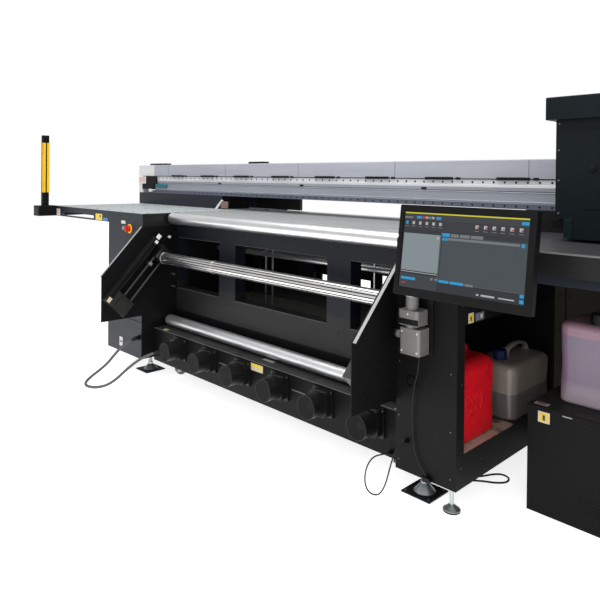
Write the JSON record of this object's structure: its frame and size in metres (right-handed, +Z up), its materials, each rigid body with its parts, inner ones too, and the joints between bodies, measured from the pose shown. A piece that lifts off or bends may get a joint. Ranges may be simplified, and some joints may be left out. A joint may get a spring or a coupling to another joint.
{
  "type": "hybrid wide format uv printer",
  "caption": "Wide format hybrid printer with side tables, a gantry carriage, roll shafts between side plates, fans under the belt and ink cans at one end.",
  "frame": {"origin": "on the floor, midway between the two light curtains and midway between the front and rear side plates", "axes": "+X to the operator's right along the gantry, -Y to the front with the monitor, +Z up"},
  "size_m": [4.926, 1.9074, 1.63],
  "materials": {
    "navy_paint": "fine textured powder coat, dark navy",
    "black_paint": "textured powder coat, black",
    "table_paint": "satin paint, pale grey",
    "cover_paint": "satin paint, light grey",
    "olive_paint": "textured paint, olive grey",
    "carriage_paint": "textured powder coat, slate",
    "base_paint": "powder coat",
    "rail_aluminium": "anodised",
    "bed_aluminium": "milled",
    "roller_steel": "bright turned",
    "shaft_aluminium": "extruded, ribbed",
    "guide_steel": "ground rods in black housings",
    "zinc": "zinc plated",
    "silver_paint": "silver enamel",
    "belt_rubber": "perforated",
    "caster_tread": "tread",
    "cable_jacket": "cable jacket",
    "thin_cable": "cable jacket",
    "fan_plastic": "moulded",
    "gland_plastic": "moulded",
    "monitor_plastic": "moulded",
    "switch_red": "moulded",
    "button_plastic": "moulded",
    "can_red": "blow moulded",
    "can_clear": "blow moulded, milky",
    "can_pink": "blow moulded, milky pink"
  },
  "bodies": {
    "frame": {"base_frame": "base_paint", "window_frames": "navy_paint", "front_side_plates": "black_paint", "rear_side_plates": "black_paint", "left_cabinet": "navy_paint", "right_cabinet": "black_paint", "left_table": "table_paint", "right_table": "table_paint", "cooler_cabinet": "black_paint", "ink_cabinet": "olive_paint", "levelling_feet": "zinc", "transport_belt": "belt_rubber", "vacuum_bed": "bed_aluminium", "shaft_guides": "guide_steel", "fan_duct": "black_paint", "fan_housings": "fan_plastic", "gantry_beam": "cover_paint", "gantry_cover": "cover_paint", "gantry_rails": "rail_aluminium", "gantry_pedestals": "navy_paint", "light_curtains": "black_paint", "monitor_post": "silver_paint", "cable_glands": "gland_plastic", "power_cable": "cable_jacket", "fan_cable": "thin_cable", "monitor_cable": "thin_cable", "floor_cable": "thin_cable"},
    "belt_drive": {"belt_drive_roller": "roller_steel"},
    "carriage": {"carriage_shell": "carriage_paint", "carriage_hood": "carriage_paint", "print_head_block": "bed_aluminium"},
    "swing_arm": {"monitor_arm": "silver_paint"},
    "monitor": {"monitor_case": "monitor_plastic"},
    "main_switch": {"main_switch": "switch_red"},
    "start_button": {"start_button": "button_plastic"},
    "red_can": {"red_can": "can_red"},
    "clear_can": {"clear_can": "can_clear"},
    "pink_can": {"pink_can": "can_pink"},
    "front_guide_roller": {"front_guide_roller": "roller_steel"},
    "front_tension_roller": {"front_tension_roller": "roller_steel"},
    "front_shaft_lift": {"front_shaft_blocks": "guide_steel"},
    "front_air_shaft": {"front_air_shaft": "shaft_aluminium"},
    "rear_guide_roller": {"rear_guide_roller": "roller_steel"},
    "rear_tension_roller": {"rear_tension_roller": "roller_steel"},
    "rear_shaft_lift": {"rear_shaft_blocks": "guide_steel"},
    "rear_air_shaft": {"rear_air_shaft": "shaft_aluminium"},
    "fan_1": {"fan_rotor_1": "fan_plastic"},
    "fan_2": {"fan_rotor_2": "fan_plastic"},
    "fan_3": {"fan_rotor_3": "fan_plastic"},
    "fan_4": {"fan_rotor_4": "fan_plastic"},
    "fan_5": {"fan_rotor_5": "fan_plastic"},
    "fan_6": {"fan_rotor_6": "fan_plastic"},
    "caster_1": {"caster_fork_1": "zinc"},
    "wheel_1": {"caster_wheel_1": "caster_tread"},
    "caster_2": {"caster_fork_2": "zinc"},
    "wheel_2": {"caster_wheel_2": "caster_tread"},
    "caster_3": {"caster_fork_3": "zinc"},
    "wheel_3": {"caster_wheel_3": "caster_tread"},
    "caster_4": {"caster_fork_4": "zinc"},
    "wheel_4": {"caster_wheel_4": "caster_tread"}
  },
  "joints": [
    {"name": "belt_drive_spin", "type": "hinge", "parent": "frame", "child": "belt_drive", "pos_m": [0, 0.352, 1.022], "axis": [1, 0, 0], "continuous": true},
    {"name": "front_guide_spin", "type": "hinge", "parent": "frame", "child": "front_guide_roller", "pos_m": [0, -0.435, 1.023], "axis": [1, 0, 0], "continuous": true},
    {"name": "front_tension_spin", "type": "hinge", "parent": "frame", "child": "front_tension_roller", "pos_m": [0, -0.45, 0.352], "axis": [1, 0, 0], "continuous": true},
    {"name": "front_shaft_lower", "type": "slide", "parent": "frame", "child": "front_shaft_lift", "axis": [0, -0.6884, -0.7253], "range_m": [0, 0.24]},
    {"name": "front_shaft_spin", "type": "hinge", "parent": "front_shaft_lift", "child": "front_air_shaft", "pos_m": [0, -0.52, 0.77], "axis": [1, 0, 0], "continuous": true},
    {"name": "rear_guide_spin", "type": "hinge", "parent": "frame", "child": "rear_guide_roller", "pos_m": [0, 0.435, 1.023], "axis": [1, 0, 0], "continuous": true},
    {"name": "rear_tension_spin", "type": "hinge", "parent": "frame", "child": "rear_tension_roller", "pos_m": [0, 0.45, 0.352], "axis": [1, 0, 0], "continuous": true},
    {"name": "rear_shaft_lower", "type": "slide", "parent": "frame", "child": "rear_shaft_lift", "axis": [0, 0.6884, -0.7253], "range_m": [0, 0.24]},
    {"name": "rear_shaft_spin", "type": "hinge", "parent": "rear_shaft_lift", "child": "rear_air_shaft", "pos_m": [0, 0.52, 0.77], "axis": [1, 0, 0], "continuous": true},
    {"name": "fan_1_spin", "type": "hinge", "parent": "frame", "child": "fan_1", "pos_m": [-0.692, -0.62, 0.236], "axis": [0, 1, 0], "continuous": true},
    {"name": "fan_2_spin", "type": "hinge", "parent": "frame", "child": "fan_2", "pos_m": [-0.388, -0.62, 0.236], "axis": [0, 1, 0], "continuous": true},
    {"name": "fan_3_spin", "type": "hinge", "parent": "frame", "child": "fan_3", "pos_m": [-0.084, -0.62, 0.236], "axis": [0, 1, 0], "continuous": true},
    {"name": "fan_4_spin", "type": "hinge", "parent": "frame", "child": "fan_4", "pos_m": [0.22, -0.62, 0.236], "axis": [0, 1, 0], "continuous": true},
    {"name": "fan_5_spin", "type": "hinge", "parent": "frame", "child": "fan_5", "pos_m": [0.524, -0.62, 0.236], "axis": [0, 1, 0], "continuous": true},
    {"name": "fan_6_spin", "type": "hinge", "parent": "frame", "child": "fan_6", "pos_m": [0.828, -0.62, 0.236], "axis": [0, 1, 0], "continuous": true},
    {"name": "main_switch_turn", "type": "hinge", "parent": "frame", "child": "main_switch", "pos_m": [-1.178, -0.66, 0.952], "axis": [0, 1, 0], "range_deg": [0, 90]},
    {"name": "start_button_press", "type": "slide", "parent": "frame", "child": "start_button", "axis": [0, 1, 0], "range_m": [0, 0.003], "stiffness_N_per_m": 300, "springref_m": -0.002},
    {"name": "carriage_travel", "type": "slide", "parent": "frame", "child": "carriage", "axis": [-1, 0, 0], "range_m": [0, 3.7]},
    {"name": "monitor_swivel", "type": "hinge", "parent": "frame", "child": "swing_arm", "pos_m": [1.125, -0.692, 0.91], "axis": [0, 0, 1], "range_deg": [-45, 5]},
    {"name": "monitor_tilt", "type": "hinge", "parent": "swing_arm", "child": "monitor", "pos_m": [1.4, -0.7514, 1.03123], "axis": [1, 0, 0], "range_deg": [-8, 8]},
    {"name": "red_can_pull", "type": "slide", "parent": "frame", "child": "red_can", "axis": [1, 0, 0], "range_m": [0, 0.15]},
    {"name": "clear_can_pull", "type": "slide", "parent": "frame", "child": "clear_can", "axis": [1, 0, 0], "range_m": [0, 0.12]},
    {"name": "pink_can_pull", "type": "slide", "parent": "frame", "child": "pink_can", "axis": [0, -1, 0], "range_m": [0, 0.4]},
    {"name": "caster_1_swivel", "type": "hinge", "parent": "frame", "child": "caster_1", "pos_m": [-0.885, -0.445, 0.09], "axis": [0, 0, 1], "continuous": true},
    {"name": "wheel_1_roll", "type": "hinge", "parent": "caster_1", "child": "wheel_1", "pos_m": [-0.885, -0.419, 0.041], "axis": [1, 0, 0], "continuous": true},
    {"name": "caster_2_swivel", "type": "hinge", "parent": "frame", "child": "caster_2", "pos_m": [0.885, -0.445, 0.09], "axis": [0, 0, 1], "continuous": true},
    {"name": "wheel_2_roll", "type": "hinge", "parent": "caster_2", "child": "wheel_2", "pos_m": [0.885, -0.419, 0.041], "axis": [1, 0, 0], "continuous": true},
    {"name": "caster_3_swivel", "type": "hinge", "parent": "frame", "child": "caster_3", "pos_m": [-0.885, 0.43, 0.09], "axis": [0, 0, 1], "continuous": true},
    {"name": "wheel_3_roll", "type": "hinge", "parent": "caster_3", "child": "wheel_3", "pos_m": [-0.885, 0.456, 0.041], "axis": [1, 0, 0], "continuous": true},
    {"name": "caster_4_swivel", "type": "hinge", "parent": "frame", "child": "caster_4", "pos_m": [0.885, 0.43, 0.09], "axis": [0, 0, 1], "continuous": true},
    {"name": "wheel_4_roll", "type": "hinge", "parent": "caster_4", "child": "wheel_4", "pos_m": [0.885, 0.456, 0.041], "axis": [1, 0, 0], "continuous": true}
  ]
}
